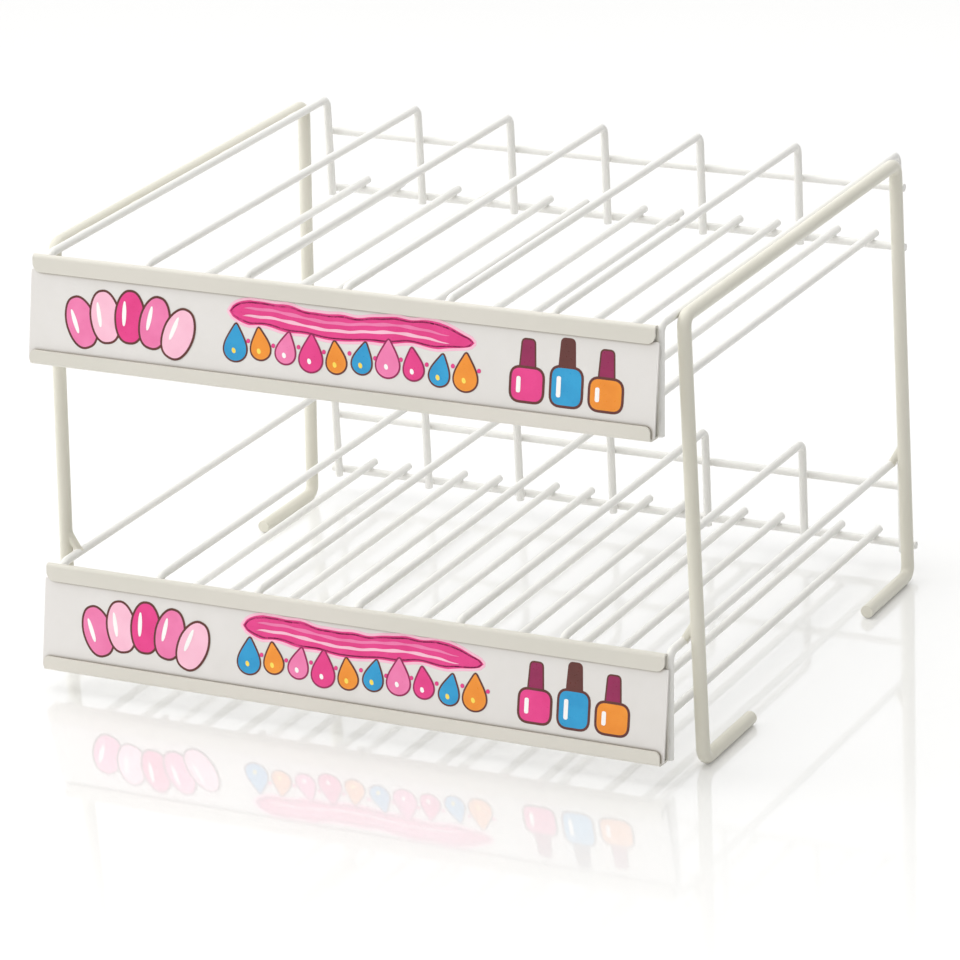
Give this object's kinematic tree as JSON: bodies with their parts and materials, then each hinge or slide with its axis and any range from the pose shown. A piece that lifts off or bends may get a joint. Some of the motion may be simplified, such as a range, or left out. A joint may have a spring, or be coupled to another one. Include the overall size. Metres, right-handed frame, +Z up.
{
  "type": "tiered wire display rack for small bottles",
  "caption": "Tiered countertop wire rack with open bottle lanes, a label channel with a slide-in card along each shelf front, welded between bent-wire side frames.",
  "frame": {"origin": "middle of the footprint, on the surface that the wire feet stand on", "axes": "+X to the right seen from the front, +Y to the back (the label channels face -Y), +Z up"},
  "size_m": [0.2546, 0.2246, 0.1604],
  "materials": {
    "frame_coat": "warm off-white powder coat, satin, on heavy bent wire",
    "wire_coat": "warm off-white powder coat, satin, on light wire",
    "channel_coat": "warm off-white powder coat, satin, on folded sheet",
    "label_card": null
  },
  "bodies": {
    "rack": {"upper_divider_wire_1": "wire_coat", "upper_divider_wire_2": "wire_coat", "upper_divider_wire_3": "wire_coat", "upper_divider_wire_4": "wire_coat", "upper_divider_wire_5": "wire_coat", "upper_divider_wire_6": "wire_coat", "upper_divider_wire_7": "wire_coat", "upper_lane_1_left_floor_wire": "wire_coat", "upper_lane_1_right_floor_wire": "wire_coat", "upper_lane_2_left_floor_wire": "wire_coat", "upper_lane_2_right_floor_wire": "wire_coat", "upper_lane_3_left_floor_wire": "wire_coat", "upper_lane_3_right_floor_wire": "wire_coat", "upper_lane_4_left_floor_wire": "wire_coat", "upper_lane_4_right_floor_wire": "wire_coat", "upper_lane_5_left_floor_wire": "wire_coat", "upper_lane_5_right_floor_wire": "wire_coat", "upper_lane_6_left_floor_wire": "wire_coat", "upper_lane_6_right_floor_wire": "wire_coat", "upper_back_stop_wire": "wire_coat", "upper_floor_cross_wire": "wire_coat", "upper_label_channel": "channel_coat", "lower_divider_wire_1": "wire_coat", "lower_divider_wire_2": "wire_coat", "lower_divider_wire_3": "wire_coat", "lower_divider_wire_4": "wire_coat", "lower_divider_wire_5": "wire_coat", "lower_divider_wire_6": "wire_coat", "lower_divider_wire_7": "wire_coat", "lower_lane_1_left_floor_wire": "wire_coat", "lower_lane_1_right_floor_wire": "wire_coat", "lower_lane_2_left_floor_wire": "wire_coat", "lower_lane_2_right_floor_wire": "wire_coat", "lower_lane_3_left_floor_wire": "wire_coat", "lower_lane_3_right_floor_wire": "wire_coat", "lower_lane_4_left_floor_wire": "wire_coat", "lower_lane_4_right_floor_wire": "wire_coat", "lower_lane_5_left_floor_wire": "wire_coat", "lower_lane_5_right_floor_wire": "wire_coat", "lower_lane_6_left_floor_wire": "wire_coat", "lower_lane_6_right_floor_wire": "wire_coat", "lower_back_stop_wire": "wire_coat", "lower_floor_cross_wire": "wire_coat", "lower_label_channel": "channel_coat", "left_side_frame": "frame_coat", "left_front_shelf_strut": "frame_coat", "left_rear_shelf_strut": "frame_coat", "right_side_frame": "frame_coat", "right_front_shelf_strut": "frame_coat", "right_rear_shelf_strut": "frame_coat"},
    "upper_card": {"upper_label_card": "label_card"},
    "lower_card": {"lower_label_card": "label_card"}
  },
  "joints": [
    {"name": "upper_card_slide", "type": "slide", "parent": "rack", "child": "upper_card", "axis": [1, 0, 0], "range_m": [-0.2, 0.2]},
    {"name": "lower_card_slide", "type": "slide", "parent": "rack", "child": "lower_card", "axis": [1, 0, 0], "range_m": [-0.2, 0.2]}
  ]
}
